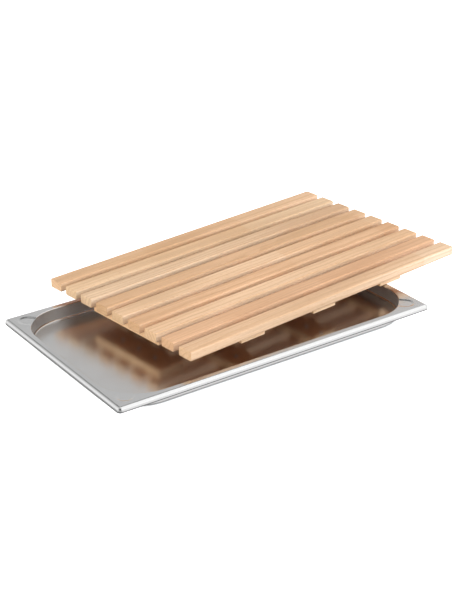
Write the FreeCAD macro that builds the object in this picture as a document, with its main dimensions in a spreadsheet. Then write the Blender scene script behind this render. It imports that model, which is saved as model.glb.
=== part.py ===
"""Slatted bread board on a shallow catering pan: slats on battens over a pressed steel tray.

Row frame, in millimetres: the origin is the centre of the pan's flat underside, +X runs along the pan's
long side, +Y across it, +Z up. At rest the board lies on the pan's rim as it is photographed, turned a
little and pushed towards the back right corner, with its battens' undersides on the rim.
"""
import FreeCAD, Part
import math
import os

import Sketcher

from FreeCAD import Placement, Rotation, Vector

doc = FreeCAD.newDocument("bread_board")
sheet = doc.addObject("Spreadsheet::Sheet", "sizes")

# Lengths under this many millimetres count as none when edges are picked.
TOUCH = 1e-3

# Driving sizes in millimetres and degrees: name, value, what it is.
DRIVING_SIZES = (
    ("outer_length", 530, "long side of the pan's rim, which the seated board covers"),
    ("outer_width", 325, "short side of the pan's rim and of the board"),
    ("pan_height", 21, "underside of the pan to the top of its rim"),
    ("sheet_thickness", 0.8, "stainless sheet of the pan"),
    ("rim_width", 12.5, "flat rim round the cavity, measured from the outer edge"),
    ("rim_corner_radius", 6, "outer corners of the rim, seen from above"),
    ("rim_bend_radius", 4, "inside of the bend where the rim turns down"),
    ("rim_drop", 8, "height of the turned down edge"),
    ("hem_height", 2.6, "folded hem along the bottom of the turned down edge"),
    ("hem_thickness", 2, "turned down edge with its folded hem"),
    ("hem_radius", 0.8, "rounded bottom of the hem"),
    ("cavity_corner_radius", 66, "corners of the cavity, seen from above"),
    ("wall_lean", 3, "lean of the cavity's walls, in degrees"),
    ("mouth_bend_radius", 0.8, "underside of the bend from the rim into the cavity"),
    ("floor_radius", 3, "rounding between wall and floor, inside"),
    ("channel_depth", 0.9, "pouring channel pressed into each corner of the rim"),
    ("channel_width", 27, "width of a pouring channel"),
    ("channel_inset", 21, "outer corner of the rim to the closed end of its channel"),
    ("channel_flank", 5, "width of a channel's sloping side, seen from above"),
    ("slat_count", 9, "slats across the board"),
    ("slat_gap", 11.4, "open gap between two slats"),
    ("slat_thickness", 14, "slat from its underside to the cutting face"),
    ("slat_edge_radius", 2, "rounding along the long edges of a slat"),
    ("slat_end_bevel", 0.7, "eased edge round the ends of a slat"),
    ("batten_depth", 14, "batten from its underside to the slats"),
    ("batten_width", 44, "width of a batten, along the slats"),
    ("batten_edge_bevel", 1, "eased lower edges of a batten"),
    ("cross_batten_count", 3, "battens that run right across the board"),
    ("seat_clearance", 1.5, "play between the seated battens and the cavity's walls"),
    ("corner_clearance", 9, "end of an end batten to the start of the cavity's corner"),
    ("end_bay", 45, "open bay between an end batten and the next cross batten"),
    ("screw_diameter", 3.5, "shank of a countersunk wood screw"),
    ("screw_head_diameter", 7, "head of a screw"),
    ("countersink_angle", 90, "cone under a screw's head, in degrees"),
    ("screw_head_sink", 0.4, "top of a screw's head below the batten's face"),
    ("screw_point_length", 4, "tapered point of a screw"),
    ("screw_cover", 3, "wood left over a screw's point"),
    ("screw_end_distance", 6, "screw from the end of an end batten, at least"),
    ("shank_clearance", 0.4, "hole through a batten, wider than the shank"),
    ("pilot_clearance", 0.06, "hole in a slat, wider than the shank"),
    ("recess_span", 3.6, "cross recess in a screw's head, tip to tip"),
    ("recess_slot", 0.9, "width of one slot of the recess"),
    ("recess_depth", 1.2, "depth of the recess"),
    ("rest_gap", 0.25, "battens above the rim at rest"),
    ("board_turn", 6.6, "board turned about the vertical, in degrees"),
    ("board_shift_along", 112, "board's centre from the pan's, along the pan"),
    ("board_shift_across", 61, "board's centre from the pan's, across the pan"),
)

# Sizes that follow from the driving ones: name, formula, what it is.
DERIVED_SIZES = (
    ("rim_edge_radius", "rim_bend_radius + sheet_thickness", "outside of the rim's bend"),
    ("skirt_level", "pan_height - rim_drop", "bottom of the turned down edge"),
    ("hem_level", "skirt_level + hem_height", "top of the hem"),
    ("hem_length", "outer_length - 2 * hem_thickness", "hollow within the hem, along"),
    ("hem_width", "outer_width - 2 * hem_thickness", "hollow within the hem, across"),
    ("hem_corner", "rim_corner_radius - hem_thickness", "its corners"),
    ("skirt_length", "outer_length - 2 * sheet_thickness", "hollow within the skirt, along"),
    ("skirt_width", "outer_width - 2 * sheet_thickness", "hollow within the skirt, across"),
    ("skirt_corner", "rim_corner_radius - sheet_thickness", "its corners"),
    ("skirt_depth", "rim_drop - hem_height - sheet_thickness", "hem to the underside of the rim"),
    ("cavity_length", "outer_length - 2 * rim_width", "mouth of the cavity, along"),
    ("cavity_width", "outer_width - 2 * rim_width", "mouth of the cavity, across"),
    ("cavity_depth", "pan_height - sheet_thickness", "rim to the floor"),
    ("tub_length", "cavity_length + 2 * sheet_thickness", "outside of the tub, along"),
    ("tub_width", "cavity_width + 2 * sheet_thickness", "outside of the tub, across"),
    ("tub_corner", "cavity_corner_radius + sheet_thickness", "its corners"),
    ("mid_rim_length", "outer_length - rim_width", "along the middle of the rim"),
    ("mid_rim_width", "outer_width - rim_width", "across the middle of the rim"),
    ("tub_floor_radius", "floor_radius + sheet_thickness", "rounding under the tub"),
    ("mouth_radius", "mouth_bend_radius + sheet_thickness", "top of the bend into the cavity"),
    ("channel_radius", "channel_width / 2", "closed end of a channel"),
    ("bulge_radius", "channel_radius + sheet_thickness", "the same below the rim"),
    ("channel_reach", "cavity_corner_radius / 2", "channel's straight run, into the cavity"),
    ("channel_corner", "(channel_inset + channel_radius) * sqrt(0.5)", "closed end's centre to each edge"),
    ("channel_along", "outer_length / 2 - channel_corner", "from the pan's centre"),
    ("channel_across", "outer_width / 2 - channel_corner", "from the pan's centre"),
    ("channel_slope", "atan(channel_flank / channel_depth) / 1 deg", "channel's side from the vertical"),
    ("rim_underside", "pan_height - sheet_thickness", "underside of the rim"),
    ("slat_width", "(outer_width - (slat_count - 1) * slat_gap) / slat_count", "one slat"),
    ("slat_pitch", "slat_width + slat_gap", "slat centre to slat centre"),
    ("pilot_diameter", "screw_diameter + pilot_clearance", "hole in a slat"),
    ("pilot_depth", "slat_thickness - screw_cover + 0.5 * pilot_diameter", "its depth"),
    ("shank_hole_diameter", "screw_diameter + shank_clearance", "hole in a batten"),
    ("head_spread", "2 * tan(countersink_angle * 0.5 deg)", "width gained by the cone in each millimetre"),
    ("countersink_diameter", "screw_head_diameter + screw_head_sink * head_spread", "at the batten's face"),
    ("cross_batten_length", "cavity_width - 2 * seat_clearance", "fits across the cavity"),
    ("end_batten_length", "cavity_width - 2 * (cavity_corner_radius + corner_clearance)", "between corners"),
    ("end_batten_centre", "(cavity_length - batten_width) / 2 - seat_clearance", "from the board's centre"),
    ("outer_cross_centre", "end_batten_centre - batten_width - end_bay", "outermost cross batten"),
    ("cross_batten_pitch", "2 * outer_cross_centre / (cross_batten_count - 1)", "spacing"),
    ("outer_cross_span", "2 * outer_cross_centre", "first cross batten to last"),
    ("end_batten_count", "2", "one at each end"),
    ("end_batten_span", "2 * end_batten_centre", "one to the other"),
    ("outer_screw_count", "2", "screws into the outer slats, one at each end of a cross batten"),
    ("inner_screw_count", "slat_count - 2", "screws at the centres of the inner slats"),
    ("inner_screw_reach", "(slat_count - 3) / 2 * slat_pitch", "outermost of them"),
    ("inner_screw_span", "2 * inner_screw_reach", "first to last"),
    ("outer_screw_reach", "(cross_batten_length + outer_width) / 4 - slat_width / 2", "outer slats"),
    ("outer_screw_offset", "(outer_width - slat_width) / 2 - outer_screw_reach", "from a slat's centre"),
    ("outer_screw_span", "2 * outer_screw_reach", "first to last"),
    ("end_screw_room", "(end_batten_length / 2 - screw_end_distance) / slat_pitch", "in slat pitches"),
    ("slat_parity", "mod(slat_count; 2)", "1 where a slat lies on the middle line"),
    ("end_screw_pairs", "floor(end_screw_room + (1 - slat_parity) / 2)", "on each side of the middle line"),
    ("end_screw_count", "2 * end_screw_pairs + slat_parity", "screws in an end batten"),
    ("end_screw_reach", "(end_screw_count - 1) / 2 * slat_pitch", "outermost of them"),
    ("end_screw_span", "2 * end_screw_reach", "first to last"),
    ("screw_head_height", "(screw_head_diameter - screw_diameter) / head_spread", "the cone"),
    ("screw_tip_level", "batten_depth + slat_thickness - screw_cover", "above the batten's underside"),
    ("screw_point_level", "screw_tip_level - screw_point_length", "where the point starts"),
    ("screw_neck_level", "screw_head_sink + screw_head_height", "where the shank starts"),
    ("screw_radius", "screw_diameter / 2", "shank"),
    ("screw_head_radius", "screw_head_diameter / 2", "head"),
)


def fill_sheet():
    """Write every size into the sheet, with its name as the cell's alias."""
    row = 0
    for name, value, note in DRIVING_SIZES:
        row += 1
        sheet.set("A%d" % row, note)
        sheet.set("B%d" % row, str(value))
        sheet.setAlias("B%d" % row, name)
    for name, formula, note in DERIVED_SIZES:
        row += 1
        sheet.set("A%d" % row, note)
        sheet.set("B%d" % row, "=" + formula)
        sheet.setAlias("B%d" % row, name)
    doc.recompute()


def size(name):
    """A named size as a plain number."""
    return float(sheet.get(name))


def bind(thing, prop, name, factor=""):
    """Tie a property to a size in the sheet, or to that size after a factor such as a minus sign."""
    thing.setExpression(prop, factor + "sizes." + name)


def new_body(label):
    """An empty body of that name."""
    body = doc.addObject("PartDesign::Body", label)
    body.Label = label
    return body


def origin_feature(body, role):
    """One of the body's own origin planes or axes, such as XY_Plane or Y_Axis."""
    for feature in body.Origin.OriginFeatures:
        if feature.Role == role:
            return feature
    raise ValueError("no origin feature " + role)


def new_sketch(body, name, plane="XY_Plane", along=None, across=None, level=None, turn=0):
    """An empty sketch on an origin plane, moved by named sizes: along, across and above that plane.

    A size's name may start with a minus sign. turn is in degrees, about the plane's normal.
    """
    sketch = body.newObject("Sketcher::SketchObject", name)
    sketch.AttachmentSupport = [(origin_feature(body, plane), "")]
    sketch.MapMode = "FlatFace"
    sketch.AttachmentOffset = Placement(Vector(), Rotation(Vector(0, 0, 1), turn))
    for axis, offset in (("x", along), ("y", across), ("z", level)):
        if offset:
            sign = "-" if offset.startswith("-") else ""
            bind(sketch, "AttachmentOffset.Base." + axis, offset.lstrip("-"), sign)
    return sketch


def dimension(sketch, kind, places, name):
    """Add a dimension to a sketch, tied to the size of that name."""
    index = sketch.addConstraint(Sketcher.Constraint(kind, *places, size(name)))
    sketch.renameConstraint(index, name)
    bind(sketch, "Constraints." + name, name)


def draw_rectangle(sketch, length, width):
    """A rectangle about the sketch's origin, its sides the sizes of those names."""
    half_length = size(length) / 2
    half_width = size(width) / 2
    corners = (
        Vector(-half_length, -half_width),
        Vector(half_length, -half_width),
        Vector(half_length, half_width),
        Vector(-half_length, half_width),
    )
    for index in range(4):
        sketch.addGeometry(Part.LineSegment(corners[index], corners[(index + 1) % 4]))
    for index in range(4):
        sketch.addConstraint(Sketcher.Constraint("Coincident", index, 2, (index + 1) % 4, 1))
    for index in (0, 2):
        sketch.addConstraint(Sketcher.Constraint("Horizontal", index))
        sketch.addConstraint(Sketcher.Constraint("Vertical", index + 1))
    sketch.addConstraint(Sketcher.Constraint("Symmetric", 0, 1, 2, 1, -1, 1))
    dimension(sketch, "DistanceX", (0, 1, 0, 2), length)
    dimension(sketch, "DistanceY", (1, 1, 1, 2), width)


def draw_rounded_rectangle(sketch, length, width, corner):
    """A rectangle with round corners about the sketch's origin, from the sizes of those names."""
    half_length = size(length) / 2
    half_width = size(width) / 2
    radius = size(corner)
    inner_x = half_length - radius
    inner_y = half_width - radius
    sides = (
        (Vector(-inner_x, -half_width), Vector(inner_x, -half_width)),
        (Vector(half_length, -inner_y), Vector(half_length, inner_y)),
        (Vector(inner_x, half_width), Vector(-inner_x, half_width)),
        (Vector(-half_length, inner_y), Vector(-half_length, -inner_y)),
    )
    centres = (Vector(inner_x, -inner_y), Vector(inner_x, inner_y), Vector(-inner_x, inner_y),
               Vector(-inner_x, -inner_y))
    quarter = math.pi / 2
    for start, end in sides:
        sketch.addGeometry(Part.LineSegment(start, end))
    for turns, centre in enumerate(centres):
        circle = Part.Circle(centre, Vector(0, 0, 1), radius)
        start = (turns - 1) * quarter
        sketch.addGeometry(Part.ArcOfCircle(circle, start, start + quarter))
    for side in range(4):
        arc = 4 + side
        sketch.addConstraint(Sketcher.Constraint("Tangent", side, 2, arc, 1))
        sketch.addConstraint(Sketcher.Constraint("Tangent", arc, 2, (side + 1) % 4, 1))
    for arc in (5, 6, 7):
        sketch.addConstraint(Sketcher.Constraint("Equal", 4, arc))
    for side in (0, 2):
        sketch.addConstraint(Sketcher.Constraint("Horizontal", side))
        sketch.addConstraint(Sketcher.Constraint("Vertical", side + 1))
    sketch.addConstraint(Sketcher.Constraint("Symmetric", 4, 3, 6, 3, -1, 1))
    dimension(sketch, "DistanceX", (3, 1, 1, 1), length)
    dimension(sketch, "DistanceY", (0, 1, 2, 1), width)
    dimension(sketch, "Radius", (4,), corner)


def draw_slot(sketch, radius, reach):
    """A slot from the sketch's origin along its X axis, its round ends' centres reach apart."""
    end = size(reach)
    half = size(radius)
    quarter = math.pi / 2
    near_end = Part.Circle(Vector(), Vector(0, 0, 1), half)
    sketch.addGeometry(Part.ArcOfCircle(near_end, quarter, 3 * quarter))
    sketch.addGeometry(Part.LineSegment(Vector(0, -half), Vector(end, -half)))
    far_end = Part.Circle(Vector(end, 0), Vector(0, 0, 1), half)
    sketch.addGeometry(Part.ArcOfCircle(far_end, -quarter, quarter))
    sketch.addGeometry(Part.LineSegment(Vector(end, half), Vector(0, half)))
    for index in range(4):
        sketch.addConstraint(Sketcher.Constraint("Tangent", index, 2, (index + 1) % 4, 1))
    sketch.addConstraint(Sketcher.Constraint("Coincident", 0, 3, -1, 1))
    sketch.addConstraint(Sketcher.Constraint("PointOnObject", 2, 3, -1))
    dimension(sketch, "Radius", (0,), radius)
    dimension(sketch, "DistanceX", (0, 3, 2, 3), reach)


def draw_circle(sketch, diameter):
    """A circle about the sketch's origin."""
    sketch.addGeometry(Part.Circle(Vector(), Vector(0, 0, 1), size(diameter) / 2))
    sketch.addConstraint(Sketcher.Constraint("Coincident", 0, 3, -1, 1))
    dimension(sketch, "Diameter", (0,), diameter)


def add_extrusion(body, kind, name, sketch, length, upwards=True, middle=False):
    """A Pad or Pocket of the sketch, as long as the size of that name, along the plane's normal."""
    feature = body.newObject("PartDesign::" + kind, name)
    feature.Profile = sketch
    feature.Midplane = middle
    feature.Reversed = (kind == "Pad") != upwards
    bind(feature, "Length", length)
    doc.recompute()
    return feature


def add_dressing(body, kind, name, amount, wanted):
    """A Fillet or Chamfer on the edges of the body's tip that the test wanted(edge) picks."""
    base = body.Tip
    names = []
    for index, edge in enumerate(base.Shape.Edges):
        if wanted(edge):
            names.append("Edge%d" % (index + 1))
    feature = body.newObject("PartDesign::" + kind, name)
    feature.Base = (base, names)
    bind(feature, "Radius" if kind == "Fillet" else "Size", amount)
    doc.recompute()
    return feature


def add_row(body, name, features, axis, span, count):
    """Repeat features in a straight row along an origin axis: span from first to last, count in all."""
    row = body.newObject("PartDesign::LinearPattern", name)
    row.Originals = features
    row.Direction = (origin_feature(body, axis), [""])
    bind(row, "Length", span)
    bind(row, "Occurrences", count)
    body.Tip = row
    doc.recompute()
    return row


def lies_at(edge, level):
    """Whether an edge lies flat at this height."""
    box = edge.BoundBox
    return abs(box.ZMin - level) < TOUCH and abs(box.ZMax - level) < TOUCH


def lies_within_rim(edge):
    """Whether an edge lies nearer to the cavity than the middle of the rim, seen from above."""
    box = edge.BoundBox
    reach_x = max(-box.XMin, box.XMax)
    reach_y = max(-box.YMin, box.YMax)
    return reach_x < size("mid_rim_length") / 2 and reach_y < size("mid_rim_width") / 2


def add_channel_feature(body, kind, corner, level, radius):
    """One corner's pouring channel, pressed into the rim, or the bulge below it."""
    side_x, side_y, turn = corner
    along = ("" if side_x > 0 else "-") + "channel_along"
    across = ("" if side_y > 0 else "-") + "channel_across"
    name = "channel_%s_%d" % ("pocket" if kind == "Pocket" else "bulge", turn)
    sketch = new_sketch(body, name + "_outline", "XY_Plane", along, across, level, turn)
    draw_slot(sketch, radius, "channel_reach")
    feature = add_extrusion(body, kind, name, sketch, "channel_depth", upwards=False)
    bind(feature, "TaperAngle", "channel_slope", "-")
    doc.recompute()


def make_pan():
    """The pressed pan: a flat rim with a hemmed edge, a shallow cavity and four pouring channels."""
    body = new_body("pan")

    # Each corner's side along X and Y, and the turn that points its channel at the pan's centre.
    corners = ((1, 1, 225), (-1, 1, 315), (-1, -1, 45), (1, -1, 135))

    # Rim block, hollowed from below to a skirt with a folded hem, then its bends rounded.
    sketch = new_sketch(body, "rim_outline", level="skirt_level")
    draw_rounded_rectangle(sketch, "outer_length", "outer_width", "rim_corner_radius")
    add_extrusion(body, "Pad", "rim_block", sketch, "rim_drop")
    sketch = new_sketch(body, "hem_outline", level="skirt_level")
    draw_rounded_rectangle(sketch, "hem_length", "hem_width", "hem_corner")
    add_extrusion(body, "Pocket", "hem_hollow", sketch, "hem_height")
    sketch = new_sketch(body, "skirt_outline", level="hem_level")
    draw_rounded_rectangle(sketch, "skirt_length", "skirt_width", "skirt_corner")
    add_extrusion(body, "Pocket", "skirt_hollow", sketch, "skirt_depth")
    add_dressing(body, "Fillet", "rim_bend", "rim_bend_radius",
                 lambda edge: lies_at(edge, size("rim_underside")))
    add_dressing(body, "Fillet", "rim_arris", "rim_edge_radius",
                 lambda edge: lies_at(edge, size("pan_height")))
    add_dressing(body, "Fillet", "hem_rounding", "hem_radius",
                 lambda edge: lies_at(edge, size("skirt_level")))

    # Tub below the rim, with a bulge under each pouring channel.
    sketch = new_sketch(body, "tub_outline", level="pan_height")
    draw_rounded_rectangle(sketch, "tub_length", "tub_width", "tub_corner")
    tub = add_extrusion(body, "Pad", "tub_block", sketch, "pan_height", upwards=False)
    bind(tub, "TaperAngle", "wall_lean", "-")
    doc.recompute()
    add_dressing(body, "Fillet", "mouth_bend", "mouth_bend_radius",
                 lambda edge: lies_at(edge, size("rim_underside")) and lies_within_rim(edge))
    for corner in corners:
        add_channel_feature(body, "Pad", corner, "rim_underside", "bulge_radius")

    # Cavity, its floor and mouth rounded inside and outside, then the channels.
    sketch = new_sketch(body, "cavity_outline", level="pan_height")
    draw_rounded_rectangle(sketch, "cavity_length", "cavity_width", "cavity_corner_radius")
    cavity = add_extrusion(body, "Pocket", "cavity", sketch, "cavity_depth", upwards=False)
    bind(cavity, "TaperAngle", "wall_lean", "-")
    doc.recompute()
    add_dressing(body, "Fillet", "floor_rounding", "floor_radius",
                 lambda edge: lies_at(edge, size("sheet_thickness")))
    add_dressing(body, "Fillet", "tub_rounding", "tub_floor_radius",
                 lambda edge: lies_at(edge, 0))
    add_dressing(body, "Fillet", "mouth_rounding", "mouth_radius",
                 lambda edge: lies_at(edge, size("pan_height")) and lies_within_rim(edge))
    for corner in corners:
        add_channel_feature(body, "Pocket", corner, "pan_height", "channel_radius")
    return body


def board_placement(along, across, above):
    """Where a piece of the board lies: along, across and above the middle of the battens' undersides."""
    rest_level = size("pan_height") + size("rest_gap")
    centre = Vector(size("board_shift_along"), size("board_shift_across"), rest_level)
    board = Placement(centre, Rotation(Vector(0, 0, 1), size("board_turn")))
    return board.multiply(Placement(Vector(along, across, above), Rotation()))


def add_countersunk_holes(body, name, reach, span, count):
    """A row of screw holes up through a batten, countersunk from below."""
    sketch = new_sketch(body, name + "_place", "XY_Plane", across="-" + reach)
    draw_circle(sketch, "shank_hole_diameter")
    doc.recompute()
    hole = body.newObject("PartDesign::Hole", name)
    hole.Profile = sketch
    hole.DepthType = "ThroughAll"
    hole.HoleCutType = "Countersink"
    hole.HoleCutCustomValues = True
    hole.Reversed = True
    bind(hole, "Diameter", "shank_hole_diameter")
    bind(hole, "HoleCutCountersinkAngle", "countersink_angle")
    bind(hole, "HoleCutDiameter", "countersink_diameter")
    doc.recompute()
    add_row(body, name + "_row", [hole], "Y_Axis", span, count)


def add_pilot_holes(body, name, along, across, span, count):
    """Blind holes up into a slat: the first is along and across from its middle, and a row repeats it."""
    sketch = new_sketch(body, name + "_place", "XY_Plane", along, across)
    draw_circle(sketch, "pilot_diameter")
    hole = add_extrusion(body, "Pocket", name, sketch, "pilot_depth")
    add_row(body, name + "_row", [hole], "X_Axis", span, count)


def make_slat(number):
    """One slat, its long edges rounded and its ends eased, drilled from below for its screws."""
    body = new_body("slat_%d" % (number + 1))
    sketch = new_sketch(body, "outline", "YZ_Plane")
    draw_rectangle(sketch, "slat_width", "slat_thickness")
    bind(sketch, "AttachmentOffset.Base.y", "slat_thickness", "0.5 * ")
    add_extrusion(body, "Pad", "bar", sketch, "outer_length", middle=True)
    half_length = size("outer_length") / 2
    add_dressing(body, "Fillet", "long_edges", "slat_edge_radius",
                 lambda edge: edge.BoundBox.XLength > half_length)
    add_dressing(body, "Chamfer", "end_edges", "slat_end_bevel",
                 lambda edge: edge.BoundBox.XLength < TOUCH)

    # Screw holes: over every cross batten, and over the end battens on the middle slats.
    count = int(size("slat_count"))
    from_middle = number - (count - 1) / 2
    offset = None
    if number == 0:
        offset = "outer_screw_offset"
    if number == count - 1:
        offset = "-outer_screw_offset"
    add_pilot_holes(body, "cross_holes", "-outer_cross_centre", offset,
                    "outer_cross_span", "cross_batten_count")
    if abs(from_middle) * 2 < size("end_screw_count"):
        add_pilot_holes(body, "end_holes", "-end_batten_centre", None,
                        "end_batten_span", "end_batten_count")
    body.Placement = board_placement(0, from_middle * size("slat_pitch"), size("batten_depth"))
    return body


def make_batten(label, length, along):
    """One batten, its lower edges eased and its holes countersunk from below for the screws."""
    body = new_body(label)
    sketch = new_sketch(body, "outline")
    draw_rectangle(sketch, "batten_width", length)
    add_extrusion(body, "Pad", "bar", sketch, "batten_depth")
    add_dressing(body, "Chamfer", "lower_edges", "batten_edge_bevel", lambda edge: lies_at(edge, 0))
    for name, reach, span, count in screw_rows(length):
        add_countersunk_holes(body, name + "_holes", reach, span, count)
    body.Placement = board_placement(along, 0, 0)
    return body


def screw_rows(length):
    """The rows of screws in a batten of that length: name, outermost screw, span and count."""
    if length == "end_batten_length":
        return (("end", "end_screw_reach", "end_screw_span", "end_screw_count"),)
    return (
        ("inner", "inner_screw_reach", "inner_screw_span", "inner_screw_count"),
        ("outer", "outer_screw_reach", "outer_screw_span", "outer_screw_count"),
    )


def draw_screw_profile(sketch):
    """Half of a countersunk screw, head down, about the sketch's Y axis."""
    levels = ("screw_head_sink", "screw_neck_level", "screw_point_level", "screw_tip_level")
    head, neck, point, tip = [size(level) for level in levels]
    corners = (
        Vector(0, head),
        Vector(size("screw_head_radius"), head),
        Vector(size("screw_radius"), neck),
        Vector(size("screw_radius"), point),
        Vector(0, tip),
    )
    count = len(corners)
    for index in range(count):
        sketch.addGeometry(Part.LineSegment(corners[index], corners[(index + 1) % count]))
    for index in range(count):
        sketch.addConstraint(Sketcher.Constraint("Coincident", index, 2, (index + 1) % count, 1))
    sketch.addConstraint(Sketcher.Constraint("Horizontal", 0))
    sketch.addConstraint(Sketcher.Constraint("Vertical", 2))
    sketch.addConstraint(Sketcher.Constraint("PointOnObject", 0, 1, -2))
    sketch.addConstraint(Sketcher.Constraint("PointOnObject", 4, 1, -2))
    dimension(sketch, "DistanceX", (0, 1, 0, 2), "screw_head_radius")
    dimension(sketch, "DistanceX", (0, 1, 1, 2), "screw_radius")
    for place, level in zip(((0, 1), (2, 1), (3, 1), (4, 1)), levels):
        dimension(sketch, "DistanceY", (-1, 1) + place, level)


def make_screws(label, length, along):
    """The screws of one batten, as a group of separate solids: shank, point, head and cross recess."""
    body = new_body(label)
    body.AllowCompound = True
    for name, reach, span, count in screw_rows(length):
        profile = new_sketch(body, name + "_profile", "XZ_Plane", level=reach)
        draw_screw_profile(profile)
        screw = body.newObject("PartDesign::Revolution", name + "_screw")
        screw.Profile = profile
        screw.ReferenceAxis = (profile, ["V_Axis"])
        screw.Angle = 360
        doc.recompute()
        features = [screw]
        slots = {"along": ("recess_span", "recess_slot"), "across": ("recess_slot", "recess_span")}
        for way, sides in slots.items():
            slot_name = "%s_slot_%s" % (name, way)
            sketch = new_sketch(body, slot_name + "_outline", across="-" + reach, level="screw_head_sink")
            draw_rectangle(sketch, *sides)
            features.append(add_extrusion(body, "Pocket", slot_name, sketch, "recess_depth"))
        add_row(body, name + "_row", features, "Y_Axis", span, count)
    body.Placement = board_placement(along, 0, 0)
    return body


def batten_places():
    """Every batten as its label, the name of its length, and its place along the board."""
    places = [
        ("end_batten_left", "end_batten_length", -size("end_batten_centre")),
        ("end_batten_right", "end_batten_length", size("end_batten_centre")),
    ]
    count = int(size("cross_batten_count"))
    for number in range(count):
        along = (number - (count - 1) / 2) * size("cross_batten_pitch")
        places.append(("cross_batten_%d" % (number + 1), "cross_batten_length", along))
    return places


def check_features():
    """Stop if any feature of the document failed."""
    for feature in doc.Objects:
        if "Invalid" in feature.State or "Error" in feature.State:
            raise RuntimeError("%s failed: %s" % (feature.Name, feature.getStatusString()))


def write_parts(bodies):
    """Check each finished piece and write its solids to parts/, one file a node."""
    os.makedirs("parts", exist_ok=True)
    for body in bodies:
        shape = body.Shape
        if shape.isNull() or not shape.isValid():
            raise RuntimeError(body.Label + " has no valid shape")
    for body in bodies:
        shape = body.Shape
        shape.exportStep("parts/%s.step" % body.Label)
        box = shape.BoundBox
        print("%-22s solids %2d  volume %9.1f" % (body.Label, len(shape.Solids), shape.Volume))
        print("  x %7.1f %7.1f  y %7.1f %7.1f  z %6.2f %6.2f" % (
            box.XMin, box.XMax, box.YMin, box.YMax, box.ZMin, box.ZMax))


def main():
    """Build every piece and write it out."""
    fill_sheet()
    bodies = [make_pan()]
    for number in range(int(size("slat_count"))):
        bodies.append(make_slat(number))
    for label, length, along in batten_places():
        bodies.append(make_batten(label, length, along))
        bodies.append(make_screws(label + "_screws", length, along))
    doc.recompute()
    check_features()
    write_parts(bodies)


main()
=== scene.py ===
"""Looks for the slatted bread board and its crumb pan: planed beech on satin stainless steel."""

import math

import bmesh
import bpy
from mathutils import Matrix, Vector


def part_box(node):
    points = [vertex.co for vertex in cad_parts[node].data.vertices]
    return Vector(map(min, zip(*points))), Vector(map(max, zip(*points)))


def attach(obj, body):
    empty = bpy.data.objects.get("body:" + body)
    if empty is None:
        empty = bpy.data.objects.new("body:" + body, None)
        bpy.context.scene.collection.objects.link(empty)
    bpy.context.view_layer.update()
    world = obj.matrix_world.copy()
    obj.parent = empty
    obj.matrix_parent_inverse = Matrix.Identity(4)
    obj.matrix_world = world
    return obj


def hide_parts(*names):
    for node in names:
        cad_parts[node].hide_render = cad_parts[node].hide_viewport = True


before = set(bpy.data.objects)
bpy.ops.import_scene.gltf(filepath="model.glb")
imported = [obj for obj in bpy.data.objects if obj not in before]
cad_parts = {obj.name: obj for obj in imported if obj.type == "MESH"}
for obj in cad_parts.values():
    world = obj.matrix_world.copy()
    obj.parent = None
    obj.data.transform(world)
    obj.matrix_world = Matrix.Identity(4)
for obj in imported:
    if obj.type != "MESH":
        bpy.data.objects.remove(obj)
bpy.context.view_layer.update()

# Pan, in metres: outline, depth and bends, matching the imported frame.
PAN_LENGTH = 0.530
PAN_WIDTH = 0.325
PAN_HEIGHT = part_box("pan")[1].z
SHEET = 0.0008
RIM_WIDTH = 0.0125
RIM_CORNER = 0.006
RIM_ARRIS = 0.0048
RIM_DROP = 0.008
HEM_FOLD = 0.001
HEM_HEIGHT = 0.0026
# The hem's outside is painted dark up to this height: painted shade, standing in for the dark it reflects
# from beneath the rim.
HEM_SHADE_LINE = 0.0019
CAVITY_CORNER = 0.066
WALL_LEAN = math.radians(3)
MOUTH_RADIUS = 0.0016
FLOOR_RADIUS = 0.003
CHANNEL_DEPTH = 0.0009
CHANNEL_WIDTH = 0.027
CHANNEL_INSET = 0.021
CHANNEL_FLANK = 0.005

# Board, in metres: its slats lie along its own X axis.
BOARD_LENGTH = 0.530
BOARD_WIDTH = 0.325
SLAT_COUNT = 9
SLAT_GAP = 0.0114
SLAT_WIDTH = (BOARD_WIDTH - (SLAT_COUNT - 1) * SLAT_GAP) / SLAT_COUNT
SLAT_PITCH = SLAT_WIDTH + SLAT_GAP
SLAT_THICKNESS = 0.014
SLAT_EDGE = 0.002
SLAT_END_EDGE = 0.0009
BOARD_TURN = math.radians(6.6)
BOARD_PLACE = Vector((0.112, 0.061, 0.0))
SLAT_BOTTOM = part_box("slat_1")[0].z

# Faces round each bend, and rings across the rim, which bend into the pouring channels.
CORNER_STEPS = 72
HEM_STEPS = 10
ARRIS_STEPS = 12
MOUTH_STEPS = 8
FLOOR_STEPS = 10
RIM_RINGS = 56
SLAT_EDGE_STEPS = 6
SLAT_END_STEPS = 3
# Edges that turn by less than this are shaded smooth.
SMOOTH_STEEL = math.radians(40)
SMOOTH_WOOD = math.radians(50)
# Lengths in metres that count as none at all: a step of a section, two points, two levels.
NO_STEP = 1e-7
SAME_POINT = 1e-6
SAME_LEVEL = 1e-5

# Camera: where it stood for the photograph, and the view's size in pixels.
PHOTO_WIDTH = 458
PHOTO_HEIGHT = 590
FOCAL_PIXELS = 1458.3
SENSOR = 36.0
CAMERA_PLACE = Vector((-1.0680, -1.5883, 0.9479))
CAMERA_AZIMUTH = math.radians(-34.41)
CAMERA_ELEVATION = math.radians(25.19)
CAMERA_ROLL = math.radians(-0.65)
CAMERA_NEAR = 0.05
CAMERA_FAR = 200


def deselect():
    """Leave edit mode and select nothing."""
    if bpy.context.object and bpy.context.object.mode != "OBJECT":
        bpy.ops.object.mode_set(mode="OBJECT")
    bpy.ops.object.select_all(action="DESELECT")


def use(piece):
    """Make one piece the selected and active one."""
    deselect()
    piece.select_set(True)
    bpy.context.view_layer.objects.active = piece


def name_it(name):
    """Name the piece just added, and its mesh."""
    piece = bpy.context.object
    piece.name = name
    piece.data.name = name
    return piece


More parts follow.
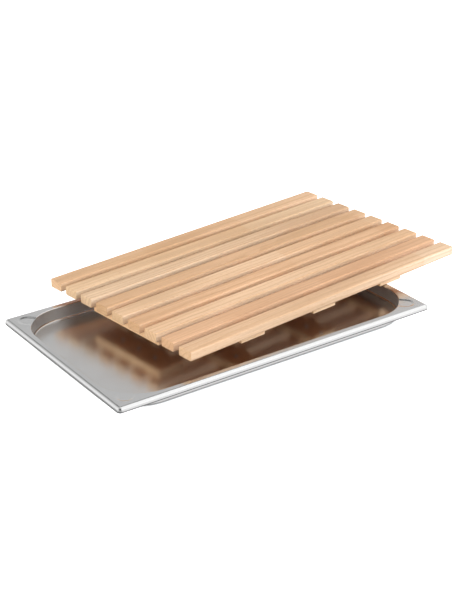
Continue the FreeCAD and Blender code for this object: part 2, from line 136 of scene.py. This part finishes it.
def apply_modifier(piece, kind, **settings):
    """Add a modifier with these settings and apply it."""
    use(piece)
    bpy.ops.object.modifier_add(type=kind)
    modifier = piece.modifiers[-1]
    for key, value in settings.items():
        setattr(modifier, key, value)
    bpy.ops.object.modifier_apply(modifier=modifier.name)


def finish_edges(piece, angle):
    """Smooth shading on rounded edges, with flat faces kept flat."""
    use(piece)
    bpy.ops.object.shade_smooth_by_angle(angle=angle)
    apply_modifier(piece, "WEIGHTED_NORMAL", keep_sharp=True)


def settle(piece):
    """Bring the piece's place into its mesh, so that its object sits at the origin."""
    use(piece)
    bpy.ops.object.transform_apply(location=True, rotation=True, scale=True)


# Pan

def rounded_outline(name, length, width, corner, level):
    """A flat face with round corners, facing up, in edit mode."""
    deselect()
    bpy.ops.mesh.primitive_plane_add(size=1, location=(0, 0, level))
    piece = name_it(name)
    piece.scale = (length, width, 1)
    settle(piece)
    bpy.ops.object.mode_set(mode="EDIT")
    bpy.ops.mesh.select_all(action="SELECT")
    bpy.ops.mesh.bevel(offset=corner, segments=CORNER_STEPS, affect="VERTICES", clamp_overlap=False)
    bpy.ops.mesh.select_all(action="SELECT")
    return piece


def step_in(inward, rise):
    """One ring further: inward by so much and up by so much."""
    if inward < NO_STEP:
        bpy.ops.mesh.extrude_region_move(TRANSFORM_OT_translate={"value": (0, 0, rise)})
    else:
        bpy.ops.mesh.inset(thickness=inward, depth=rise, use_even_offset=True)


def step_arc(radius, start, end, steps):
    """Rings along an arc of the section: angles from the level inward direction, in degrees."""
    last = math.radians(start)
    for number in range(1, steps + 1):
        angle = math.radians(start + (end - start) * number / steps)
        step_in(radius * (math.cos(angle) - math.cos(last)), radius * (math.sin(angle) - math.sin(last)))
        last = angle


def open_ends(piece):
    """Take away the faces across the outline, so that only the ring between them is left."""
    bpy.ops.mesh.select_all(action="DESELECT")
    mesh = bmesh.from_edit_mesh(piece.data)
    for face in mesh.faces:
        face.select = len(face.verts) > 4
    bmesh.update_edit_mesh(piece.data)
    bpy.ops.mesh.delete(type="ONLY_FACE")


def make_hem():
    """The folded lower edge: round the bottom and up again behind the skirt."""
    level = PAN_HEIGHT - RIM_DROP + HEM_FOLD
    piece = rounded_outline("hem", PAN_LENGTH, PAN_WIDTH, RIM_CORNER, level)
    step_arc(HEM_FOLD, 180, 360, HEM_STEPS)
    step_in(0, HEM_HEIGHT - HEM_FOLD)
    open_ends(piece)
    bpy.ops.object.mode_set(mode="OBJECT")
    return piece


def make_skirt():
    """The turned down edge and the round arris above it."""
    level = PAN_HEIGHT - RIM_DROP + HEM_FOLD
    piece = rounded_outline("skirt", PAN_LENGTH, PAN_WIDTH, RIM_CORNER, level)
    # This ring marks the top of the hem's painted shade.
    step_in(0, HEM_SHADE_LINE - HEM_FOLD)
    step_in(0, RIM_DROP - HEM_SHADE_LINE - RIM_ARRIS)
    step_arc(RIM_ARRIS, 180, 90, ARRIS_STEPS)
    open_ends(piece)
    bpy.ops.object.mode_set(mode="OBJECT")
    return piece


def make_cavity():
    """The pressed hollow: a rounded mouth, leaning walls and a floor rounded at its edge."""
    lean = math.degrees(WALL_LEAN)
    half_bend = math.tan((math.pi / 2 - WALL_LEAN) / 2)
    mouth_tangent = MOUTH_RADIUS * half_bend
    floor_tangent = FLOOR_RADIUS * half_bend
    depth = PAN_HEIGHT - SHEET
    slope = depth / math.cos(WALL_LEAN) - mouth_tangent - floor_tangent
    length = PAN_LENGTH - 2 * RIM_WIDTH + 2 * mouth_tangent
    width = PAN_WIDTH - 2 * RIM_WIDTH + 2 * mouth_tangent
    piece = rounded_outline("cavity", length, width, CAVITY_CORNER + mouth_tangent, PAN_HEIGHT)
    step_arc(MOUTH_RADIUS, 90, lean, MOUTH_STEPS)
    step_in(slope * math.sin(WALL_LEAN), -slope * math.cos(WALL_LEAN))
    step_arc(FLOOR_RADIUS, 180 + lean, 270, FLOOR_STEPS)
    bpy.ops.object.mode_set(mode="OBJECT")
    return piece


def channel_sink(x, y):
    """How far the pouring channels press the rim down at this place, from 0 to 1."""
    end = (CHANNEL_INSET + CHANNEL_WIDTH / 2) * math.sqrt(0.5)
    from_x = PAN_LENGTH / 2 - end - abs(x)
    from_y = PAN_WIDTH / 2 - end - abs(y)
    along = (from_x + from_y) * math.sqrt(0.5)
    across = (from_x - from_y) * math.sqrt(0.5)
    if along < 0:
        reach = math.hypot(along, across)
    else:
        reach = abs(across)
    inside = (CHANNEL_WIDTH / 2 - reach) / CHANNEL_FLANK
    inside = min(max(inside, 0.0), 1.0)
    return inside * inside * (3 - 2 * inside)


def press_channels(piece):
    """Press the four pouring channels into the rim and its mouth."""
    floor = PAN_HEIGHT - CHANNEL_DEPTH
    for vertex in piece.data.vertices:
        if vertex.co.z > floor:
            pressed = PAN_HEIGHT - CHANNEL_DEPTH * channel_sink(vertex.co.x, vertex.co.y)
            vertex.co.z = min(vertex.co.z, pressed)


def make_pan():
    """The whole pan, as one folded sheet with its thickness."""
    parts = [make_cavity(), make_skirt(), make_hem()]
    deselect()
    for part in parts:
        part.select_set(True)
    bpy.context.view_layer.objects.active = parts[0]
    bpy.ops.object.join()
    pan = name_it("crumb_pan")
    bpy.ops.object.mode_set(mode="EDIT")
    bpy.ops.mesh.select_all(action="SELECT")
    bpy.ops.mesh.remove_doubles(threshold=SAME_POINT)
    bpy.ops.mesh.select_all(action="DESELECT")
    mesh = bmesh.from_edit_mesh(pan.data)
    for edge in mesh.edges:
        middle = (edge.verts[0].co + edge.verts[1].co) / 2
        if edge.is_boundary and middle.z > PAN_HEIGHT - SAME_LEVEL:
            edge.select = True
    bmesh.update_edit_mesh(pan.data)
    bpy.ops.mesh.bridge_edge_loops(number_cuts=RIM_RINGS, interpolation="LINEAR")
    bpy.ops.mesh.select_all(action="SELECT")
    bpy.ops.mesh.normals_make_consistent(inside=False)
    bpy.ops.object.mode_set(mode="OBJECT")
    press_channels(pan)
    apply_modifier(pan, "SOLIDIFY", thickness=SHEET, offset=-1, use_even_offset=True)
    finish_edges(pan, SMOOTH_STEEL)
    return pan


# Board

def make_slat(number):
    """One planed slat: its long edges rounded, and its ends eased by less."""
    deselect()
    across = (number - (SLAT_COUNT + 1) / 2) * SLAT_PITCH
    middle = SLAT_BOTTOM + SLAT_THICKNESS / 2
    bpy.ops.mesh.primitive_cube_add(size=1)
    slat = name_it("beech_slat_%d" % number)
    slat.scale = (BOARD_LENGTH, SLAT_WIDTH, SLAT_THICKNESS)
    settle(slat)
    bpy.ops.object.mode_set(mode="EDIT")
    bpy.ops.mesh.select_all(action="DESELECT")
    mesh = bmesh.from_edit_mesh(slat.data)
    for edge in mesh.edges:
        edge.select = edge.calc_length() > BOARD_LENGTH / 2
    bmesh.update_edit_mesh(slat.data)
    bpy.ops.mesh.bevel(offset=SLAT_EDGE, segments=SLAT_EDGE_STEPS, affect="EDGES")
    bpy.ops.mesh.select_all(action="DESELECT")
    mesh = bmesh.from_edit_mesh(slat.data)
    for edge in mesh.edges:
        edge.select = all(abs(abs(vertex.co.x) - BOARD_LENGTH / 2) < SAME_POINT for vertex in edge.verts)
    bmesh.update_edit_mesh(slat.data)
    bpy.ops.mesh.bevel(offset=SLAT_END_EDGE, segments=SLAT_END_STEPS, affect="EDGES")
    bpy.ops.object.mode_set(mode="OBJECT")
    board = Matrix.Translation(BOARD_PLACE) @ Matrix.Rotation(BOARD_TURN, 4, "Z")
    slat.matrix_world = board @ Matrix.Translation((0, across, middle))
    settle(slat)
    finish_edges(slat, SMOOTH_WOOD)
    return slat


# Materials

UNSCALED = (1, 1, 1)
BLACK = (0.0, 0.0, 0.0)
# The mix node's colour sockets are reached by number, because their names repeat.
MIX_FACTOR, MIX_FIRST, MIX_SECOND, MIX_RESULT = 0, 6, 7, 2

# Beech, along, across and up its own board. Stops are a place on the pattern and what it gives there.
SWAY_SCALE = (2.2, 18, 18)
SWAY_REACH = (0, 0.020, 0.014)
RING_SCALE = 48
RING_DISTORTION = 2.2
RING_DETAIL = 2
RING_DETAIL_SCALE = 0.35
RING_STOPS = ((0.0, 0.0), (0.60, 0.15), (0.88, 1.0), (1.0, 0.5))
RING_SHARE = 0.80
FIBRE_SCALE = (9, 620, 620)
FIBRE_STOPS = ((0.28, 0.84), (0.72, 1.06))
FIBRE_ROUGHNESS = ((0.2, 0.42), (0.8, 0.58))
FIBRE_BUMP = 0.35
FIBRE_DEPTH = 0.00012
FLECK_SCALE = (150, 1250, 1250)
FLECK_STOPS = ((0.60, 0.0), (0.72, 1.0))
FLECK_SHARE = 0.38
FLECK_TONE = (0.42, 0.21, 0.10)
CLOUD_SCALE = (3.5, 22, 22)
CLOUD_STOPS = ((0.30, 0.0), (0.72, 1.0))
STAVE_LENGTH = 0.19
STAVE_TINTS = ((0.94, 0.87, 0.80), (1.0, 1.0, 1.0))
# Painted light and shade by the way a face turns: the ends and sides are made paler, as if lit, and the
# undersides darker and oranger, as in shade.
END_PAINTED_LIGHT = (1.20, 1.23, 1.20)
SIDE_PAINTED_LIGHT = (1.02, 1.11, 1.26)
UNDERSIDE_PAINTED_SHADE = (1.05, 0.66, 0.44)
FACING_STOPS = ((0.70, 0.0), (0.95, 1.0))

# Steel, along, across and up the pan. Faces that stand upright are rougher than level ones.
GRAIN_SCALE = (30, 2200, 2200)
GRAIN_STOPS = ((0.3, 0.94), (0.7, 1.0))
GRAIN_BUMP = 0.08
GRAIN_DEPTH = 0.00004
SMUDGE_SCALE = (9, 14, 14)
SMUDGE_PLACES = (0.3, 0.7)
WAVE_SCALE = (7, 10, 10)
WAVE_BUMP = 0.25
WAVE_DEPTH = 0.0006
WALL_ROUGH = 0.55
LEVEL_STOPS = ((0.05, 0.0), (0.25, 1.0))


def new_material(name):
    """A material, its node tree and its principled shader."""
    material = bpy.data.materials.new(name)
    material.use_nodes = True
    tree = material.node_tree
    return material, tree, tree.nodes["Principled BSDF"]


def node(tree, kind, **settings):
    """A node with some properties set."""
    made = tree.nodes.new(kind)
    for key, value in settings.items():
        setattr(made, key, value)
    return made


def mapped(tree, source, scale, location=(0, 0, 0)):
    """Coordinates after a scale and a shift."""
    mapping = node(tree, "ShaderNodeMapping")
    mapping.inputs["Location"].default_value = location
    mapping.inputs["Scale"].default_value = scale
    tree.links.new(source, mapping.inputs["Vector"])
    return mapping.outputs["Vector"]


def noise(tree, source, scale, location=(0, 0, 0), detail=2.0, rough=0.5):
    """A noise pattern's value, on coordinates that are scaled and shifted first."""
    made = node(tree, "ShaderNodeTexNoise")
    made.inputs["Scale"].default_value = 1.0
    made.inputs["Detail"].default_value = detail
    made.inputs["Roughness"].default_value = rough
    tree.links.new(mapped(tree, source, scale, location), made.inputs["Vector"])
    return made.outputs["Fac"]


def ramp(tree, source, *stops):
    """A colour ramp: each stop is a place and a grey level or colour."""
    made = node(tree, "ShaderNodeValToRGB")
    elements = made.color_ramp.elements
    while len(elements) < len(stops):
        elements.new(0.5)
    for element, (place, level) in zip(elements, stops):
        element.position = place
        element.color = (*level, 1) if isinstance(level, tuple) else (level, level, level, 1)
    tree.links.new(source, made.inputs["Fac"])
    return made.outputs["Color"]


def blend_colours(tree, factor, first, second, kind="MIX"):
    """Mix two colours, each a socket or a colour, by a socket or a number."""
    made = node(tree, "ShaderNodeMix", data_type="RGBA", blend_type=kind)
    for index, value in ((MIX_FACTOR, factor), (MIX_FIRST, first), (MIX_SECOND, second)):
        if isinstance(value, bpy.types.NodeSocket):
            tree.links.new(value, made.inputs[index])
        elif isinstance(value, tuple):
            made.inputs[index].default_value = (*value, 1)
        else:
            made.inputs[index].default_value = value
    return made.outputs[MIX_RESULT]


def bump(tree, height, strength, distance, normal=None):
    """A bump from a height, over another bump if one is given."""
    made = node(tree, "ShaderNodeBump")
    made.inputs["Strength"].default_value = strength
    made.inputs["Distance"].default_value = distance
    tree.links.new(height, made.inputs["Height"])
    if normal:
        tree.links.new(normal, made.inputs["Normal"])
    return made.outputs["Normal"]


def planed_beech(name, light, dark, pith, shift):
    """Planed beech in the board's own direction: growth rings about a pith line, fibres and flecks."""
    material, tree, shader = new_material(name)
    place = node(tree, "ShaderNodeTexCoord").outputs["Object"]
    turned = node(tree, "ShaderNodeMapping", vector_type="TEXTURE")
    turned.inputs["Location"].default_value = BOARD_PLACE
    turned.inputs["Rotation"].default_value = (0, 0, BOARD_TURN)
    tree.links.new(place, turned.inputs["Vector"])
    wood = turned.outputs["Vector"]

    # Growth rings, wavy along the slat.
    sway = noise(tree, wood, SWAY_SCALE, (shift, 0, 0))
    swayed = node(tree, "ShaderNodeVectorMath", operation="MULTIPLY_ADD")
    tree.links.new(sway, swayed.inputs[0])
    swayed.inputs[1].default_value = SWAY_REACH
    tree.links.new(mapped(tree, wood, UNSCALED, (shift, -pith[0], -pith[1])), swayed.inputs[2])
    rings = node(tree, "ShaderNodeTexWave", wave_type="RINGS", rings_direction="X", wave_profile="SAW")
    rings.inputs["Scale"].default_value = RING_SCALE
    rings.inputs["Distortion"].default_value = RING_DISTORTION
    rings.inputs["Detail"].default_value = RING_DETAIL
    rings.inputs["Detail Scale"].default_value = RING_DETAIL_SCALE
    tree.links.new(swayed.outputs["Vector"], rings.inputs["Vector"])
    ring = ramp(tree, rings.outputs["Fac"], *RING_STOPS)

    # Fine fibres and short dark flecks along the grain.
    fibre = noise(tree, wood, FIBRE_SCALE, (shift, shift, 0), 3.0, 0.6)
    fleck = noise(tree, wood, FLECK_SCALE, (0, shift, shift), 1.0)
    cloud = noise(tree, wood, CLOUD_SCALE, (2 * shift, 0, shift), 3.0)

    tone = blend_colours(tree, ramp(tree, cloud, *CLOUD_STOPS), light, dark)
    tone = blend_colours(tree, blend_colours(tree, RING_SHARE, BLACK, ring), tone, dark)
    tone = blend_colours(tree, 1.0, tone, ramp(tree, fibre, *FIBRE_STOPS), "MULTIPLY")
    fleck_mask = blend_colours(tree, FLECK_SHARE, BLACK, ramp(tree, fleck, *FLECK_STOPS))
    tone = blend_colours(tree, fleck_mask, tone, FLECK_TONE)

    # The wood is glued up from short staves, each with a tone of its own.
    along_slat = node(tree, "ShaderNodeSeparateXYZ")
    tree.links.new(mapped(tree, wood, UNSCALED, (shift, 0, 0)), along_slat.inputs["Vector"])
    stave = node(tree, "ShaderNodeMath", operation="SNAP")
    tree.links.new(along_slat.outputs["X"], stave.inputs[0])
    stave.inputs[1].default_value = STAVE_LENGTH
    own_tone = node(tree, "ShaderNodeTexWhiteNoise", noise_dimensions="1D")
    tree.links.new(stave.outputs["Value"], own_tone.inputs["W"])
    stave_tint = ramp(tree, own_tone.outputs["Value"], (0.0, STAVE_TINTS[0]), (1.0, STAVE_TINTS[1]))
    tone = blend_colours(tree, 1.0, tone, stave_tint, "MULTIPLY")

    # Painted light and shade: the sawn ends and the sides are made paler, as if lit, and the undersides
    # darker and oranger, as in shade.
    normal = node(tree, "ShaderNodeNewGeometry").outputs["Normal"]
    along = Vector((math.cos(BOARD_TURN), math.sin(BOARD_TURN), 0))
    across = Vector((-along.y, along.x, 0))
    for facing, tint in ((along, END_PAINTED_LIGHT), (-along, END_PAINTED_LIGHT), (across, SIDE_PAINTED_LIGHT), (-across, SIDE_PAINTED_LIGHT),
                         ((0, 0, -1), UNDERSIDE_PAINTED_SHADE)):
        towards = node(tree, "ShaderNodeVectorMath", operation="DOT_PRODUCT")
        tree.links.new(normal, towards.inputs[0])
        towards.inputs[1].default_value = facing
        painted_tone = blend_colours(tree, 1.0, tone, tint, "MULTIPLY")
        tone = blend_colours(tree, ramp(tree, towards.outputs["Value"], *FACING_STOPS), tone, painted_tone)

    tree.links.new(tone, shader.inputs["Base Color"])
    tree.links.new(ramp(tree, fibre, *FIBRE_ROUGHNESS), shader.inputs["Roughness"])
    tree.links.new(bump(tree, fibre, FIBRE_BUMP, FIBRE_DEPTH), shader.inputs["Normal"])
    return material


def satin_steel(name, colour, rough_low, rough_high):
    """Satin stainless sheet: a faint lengthwise grain, slight waves from pressing, rougher upright faces."""
    material, tree, shader = new_material(name)
    place = node(tree, "ShaderNodeTexCoord").outputs["Object"]
    grain = noise(tree, place, GRAIN_SCALE)
    smudge = noise(tree, place, SMUDGE_SCALE, detail=3.0)
    waves = noise(tree, place, WAVE_SCALE, detail=1.0)
    shader.inputs["Metallic"].default_value = 1.0
    shade = ramp(tree, grain, *GRAIN_STOPS)
    tree.links.new(blend_colours(tree, 1.0, shade, colour, "MULTIPLY"), shader.inputs["Base Color"])
    rough = ramp(tree, smudge, *zip(SMUDGE_PLACES, (rough_low, rough_high)))
    facing = node(tree, "ShaderNodeSeparateXYZ")
    tree.links.new(node(tree, "ShaderNodeNewGeometry").outputs["Normal"], facing.inputs["Vector"])
    level = ramp(tree, facing.outputs["Z"], *LEVEL_STOPS)
    rough = blend_colours(tree, level, (WALL_ROUGH, WALL_ROUGH, WALL_ROUGH), rough)
    tree.links.new(rough, shader.inputs["Roughness"])
    normal = bump(tree, waves, WAVE_BUMP, WAVE_DEPTH)
    tree.links.new(bump(tree, grain, GRAIN_BUMP, GRAIN_DEPTH, normal), shader.inputs["Normal"])
    return material


def paint_hem_shade(piece, material):
    """Give the folded bottom of the rim, on the outside, a second material: a dark steel that is painted
    shade, standing in for the dark reflection from beneath the rim.
    """
    piece.data.materials.append(material)
    middle_x = PAN_LENGTH / 2 - RIM_CORNER
    middle_y = PAN_WIDTH / 2 - RIM_CORNER
    for polygon in piece.data.polygons:
        past_x = max(abs(polygon.center.x) - middle_x, 0)
        past_y = max(abs(polygon.center.y) - middle_y, 0)
        if past_x + past_y > 0 and polygon.center.z < PAN_HEIGHT - RIM_DROP + HEM_SHADE_LINE:
            inset = RIM_CORNER - math.hypot(past_x, past_y)
            if inset < HEM_FOLD:
                polygon.material_index = 1


def dress(piece, material):
    """Give a piece this one material on every face."""
    piece.data.materials.clear()
    piece.data.materials.append(material)


# Tones of the slats from the front one to the back one: light and dark grain.
SLAT_TONES = (
    ((0.79, 0.56, 0.37), (0.60, 0.38, 0.22)),
    ((0.76, 0.47, 0.28), (0.57, 0.32, 0.17)),
    ((0.81, 0.55, 0.35), (0.60, 0.37, 0.20)),
    ((0.78, 0.50, 0.30), (0.58, 0.34, 0.18)),
    ((0.81, 0.56, 0.36), (0.61, 0.38, 0.21)),
    ((0.74, 0.47, 0.28), (0.55, 0.33, 0.17)),
    ((0.75, 0.54, 0.35), (0.57, 0.36, 0.21)),
    ((0.83, 0.62, 0.41), (0.65, 0.43, 0.25)),
    ((0.81, 0.54, 0.34), (0.60, 0.37, 0.20)),
)
# Each slat's pith line: across the board from its middle, and up from the pan's underside.
SLAT_PITHS = (
    (-0.21, -0.05), (-0.02, 0.11), (0.09, -0.06), (-0.07, -0.04), (0.10, 0.09),
    (0.02, -0.10), (0.16, 0.07), (0.05, 0.02), (0.21, -0.07),
)
# How far the pattern moves on from one slat to the next.
GRAIN_SHIFT = 1.7
BATTEN_LIGHT = (0.92, 0.62, 0.37)
BATTEN_DARK = (0.76, 0.46, 0.24)
BATTEN_PITH = (0.03, -0.12)
BATTEN_SHIFT = 4.3

steel = satin_steel("satin_steel", (0.64, 0.64, 0.638), 0.20, 0.27)
# A dark steel for the hem: painted shade, standing in for the dark reflection from beneath the rim.
hem_painted_shade_steel = satin_steel("hem_painted_shade_steel", (0.20, 0.20, 0.20), 0.26, 0.32)
bright_steel = satin_steel("bright_screw_steel", (0.62, 0.62, 0.62), 0.18, 0.24)
batten_beech = planed_beech("batten_beech", BATTEN_LIGHT, BATTEN_DARK, BATTEN_PITH, BATTEN_SHIFT)

pan = make_pan()
dress(pan, steel)
paint_hem_shade(pan, hem_painted_shade_steel)
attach(pan, "pan")
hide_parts("pan")

for slat_number in range(1, SLAT_COUNT + 1):
    slat = make_slat(slat_number)
    light_tone, dark_tone = SLAT_TONES[slat_number - 1]
    beech = planed_beech("slat_beech_%d" % slat_number, light_tone, dark_tone,
                         SLAT_PITHS[slat_number - 1], GRAIN_SHIFT * slat_number)
    dress(slat, beech)
    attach(slat, "board")
    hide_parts("slat_%d" % slat_number)

for name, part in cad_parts.items():
    if name.endswith("_screws"):
        dress(part, bright_steel)
    elif "batten" in name:
        dress(part, batten_beech)


# Floor, light and background

FLOOR_SIZE = 60
FLOOR_LEVEL = -0.0002
FLOOR_GREY = 0.86
FLOOR_ROUGH = 0.8
# The floor's own light, added for the camera, and its whole brightness in the steel.
FLOOR_TO_CAMERA = 0.80
FLOOR_IN_STEEL = 1.30
# Both fade out close to the pan, by how open the floor is within this distance: to the camera this lets the
# floor's real shadow show, and to the steel it is a painted contact shadow.
CONTACT_REACH = 0.012
CONTACT_STOPS = ((0.35, 0.0), (0.66, 1.0))
# To the steel, the floor has a painted shadow along the pan's left side, a dark strip: places to the right of
# that side.
LEFT_SIDE_SHADOW_STOPS = ((-0.050, 1.0), (-0.026, 0.08), (-0.005, 0.08), (0.010, 1.0))

# The world's strength, by which the levels below are divided to fit in a colour ramp.
SKY_STRENGTH = 3.0
# Brightness of the surroundings by height, from the horizon at 0 to straight up at 1.
SKY_BASE = ((0.0, 0.80), (0.40, 0.80), (0.62, 0.74), (1.0, 0.62))
# Soft panels and dark gaps round the set: direction, angle from it at which each begins to fade and
# has faded out, in degrees, and brightness.
SKY_PANELS = (
    ((0.51, 0.10, 0.85), 20, 30, 1.60),
    ((0.52, -0.72, 0.40), 30, 40, 1.60),
    ((-0.80, 0.50, 0.34), 26, 40, 1.32),
    ((0.39, 0.49, 0.78), 9, 13, 0.03),
    ((0.20, 0.77, 0.60), 6, 10, 0.06),
    ((-0.51, -0.75, 0.43), 25, 30, 0.02),
)

LAMP_TARGET = Vector((0.05, 0, 0.04))
LAMP_SIZE = 1.2


def make_floor():
    """A wide pale floor: white to the camera but for the pan's shadow, at a level of its own to the steel,
    with a painted contact shadow round the pan and a painted shadow along its left side.
    """
    deselect()
    bpy.ops.mesh.primitive_plane_add(size=FLOOR_SIZE, location=(0, 0, FLOOR_LEVEL))
    floor = name_it("floor")
    settle(floor)
    material, tree, shader = new_material("pale_floor")
    shader.inputs["Base Color"].default_value = (FLOOR_GREY, FLOOR_GREY, FLOOR_GREY, 1)
    shader.inputs["Roughness"].default_value = FLOOR_ROUGH
    shader.inputs["Specular IOR Level"].default_value = 0.0
    rays = node(tree, "ShaderNodeLightPath").outputs
    open_floor = node(tree, "ShaderNodeAmbientOcclusion")
    open_floor.inputs["Distance"].default_value = CONTACT_REACH
    clear_of_contact_shade = ramp(tree, open_floor.outputs["AO"], *CONTACT_STOPS)
    to_camera = blend_colours(tree, 1.0, clear_of_contact_shade, rays["Is Camera Ray"], "MULTIPLY")
    own_light = node(tree, "ShaderNodeEmission")
    own_light.inputs["Strength"].default_value = FLOOR_TO_CAMERA
    tree.links.new(to_camera, own_light.inputs["Color"])
    lit = node(tree, "ShaderNodeAddShader")
    tree.links.new(shader.outputs["BSDF"], lit.inputs[0])
    tree.links.new(own_light.outputs["Emission"], lit.inputs[1])
    mirrored = node(tree, "ShaderNodeEmission")
    mirrored.inputs["Strength"].default_value = FLOOR_IN_STEEL
    place = node(tree, "ShaderNodeTexCoord").outputs["Object"]
    split = node(tree, "ShaderNodeSeparateXYZ")
    # Moved by the pan's length, since a ramp's places run from 0 to 1.
    tree.links.new(mapped(tree, place, UNSCALED, (PAN_LENGTH, 0, 0)), split.inputs["Vector"])
    stops = [(PAN_LENGTH / 2 + from_side, level) for from_side, level in LEFT_SIDE_SHADOW_STOPS]
    # The painted shadow along the pan's left side, seen only in the steel.
    painted_left_shadow = ramp(tree, split.outputs["X"], *stops)
    tree.links.new(blend_colours(tree, 1.0, clear_of_contact_shade, painted_left_shadow, "MULTIPLY"), mirrored.inputs["Color"])
    shown = node(tree, "ShaderNodeMixShader")
    tree.links.new(rays["Is Glossy Ray"], shown.inputs["Fac"])
    tree.links.new(lit.outputs["Shader"], shown.inputs[1])
    tree.links.new(mirrored.outputs["Emission"], shown.inputs[2])
    tree.links.new(shown.outputs["Shader"], tree.nodes["Material Output"].inputs["Surface"])
    dress(floor, material)


def make_sky():
    """Studio surroundings: soft bright panels and dark gaps for the object, plain white for the camera."""
    world = bpy.data.worlds.new("studio")
    bpy.context.scene.world = world
    world.use_nodes = True
    tree = world.node_tree
    background = tree.nodes["Background"]
    direction = node(tree, "ShaderNodeTexCoord").outputs["Generated"]
    split = node(tree, "ShaderNodeSeparateXYZ")
    tree.links.new(direction, split.inputs["Vector"])
    stops = [(height, level / SKY_STRENGTH) for height, level in SKY_BASE]
    sky = ramp(tree, split.outputs["Z"], *stops)
    for middle, full, faded, level in SKY_PANELS:
        towards = node(tree, "ShaderNodeVectorMath", operation="DOT_PRODUCT")
        tree.links.new(direction, towards.inputs[0])
        towards.inputs[1].default_value = Vector(middle).normalized()
        edge = math.cos(math.radians(faded))
        inside = math.cos(math.radians(full))
        panel = ramp(tree, towards.outputs["Value"], (edge, 0.0), (inside, 1.0))
        level /= SKY_STRENGTH
        sky = blend_colours(tree, panel, sky, (level, level, level))
    camera_ray = node(tree, "ShaderNodeLightPath").outputs["Is Camera Ray"]
    white = (1 / SKY_STRENGTH, 1 / SKY_STRENGTH, 1 / SKY_STRENGTH)
    tree.links.new(blend_colours(tree, camera_ray, sky, white), background.inputs["Color"])
    background.inputs["Strength"].default_value = SKY_STRENGTH


def make_lamp(name, place, watts, colour):
    """A square soft lamp that points at the object, and doesn't mirror in the steel."""
    data = bpy.data.lights.new(name, "AREA")
    data.shape = "SQUARE"
    data.size = LAMP_SIZE
    data.energy = watts
    data.color = colour
    lamp = bpy.data.objects.new(name, data)
    bpy.context.scene.collection.objects.link(lamp)
    lamp.visible_glossy = False
    lamp.location = place
    lamp.rotation_euler = (LAMP_TARGET - Vector(place)).to_track_quat("-Z", "Y").to_euler()


def make_camera():
    """The camera at the photograph's place and angle."""
    data = bpy.data.cameras.new("camera")
    data.sensor_width = SENSOR
    data.lens = FOCAL_PIXELS * SENSOR / max(PHOTO_WIDTH, PHOTO_HEIGHT)
    data.clip_start = CAMERA_NEAR
    data.clip_end = CAMERA_FAR
    camera = bpy.data.objects.new("camera", data)
    bpy.context.scene.collection.objects.link(camera)
    heading = Matrix.Rotation(CAMERA_AZIMUTH, 4, "Z")
    tilt = Matrix.Rotation(math.pi / 2 - CAMERA_ELEVATION, 4, "X")
    roll = Matrix.Rotation(CAMERA_ROLL, 4, "Z")
    camera.matrix_world = Matrix.Translation(CAMERA_PLACE) @ heading @ tilt @ roll
    bpy.context.scene.camera = camera


make_floor()
make_sky()
make_lamp("left_lamp", (-1.7, -1.4, 0.8), 27, (1, 1, 1))
make_lamp("front_lamp", (1.1, -1.9, 1.1), 36, (0.88, 0.96, 1.0))
make_camera()
bpy.context.scene.view_settings.view_transform = "Standard"
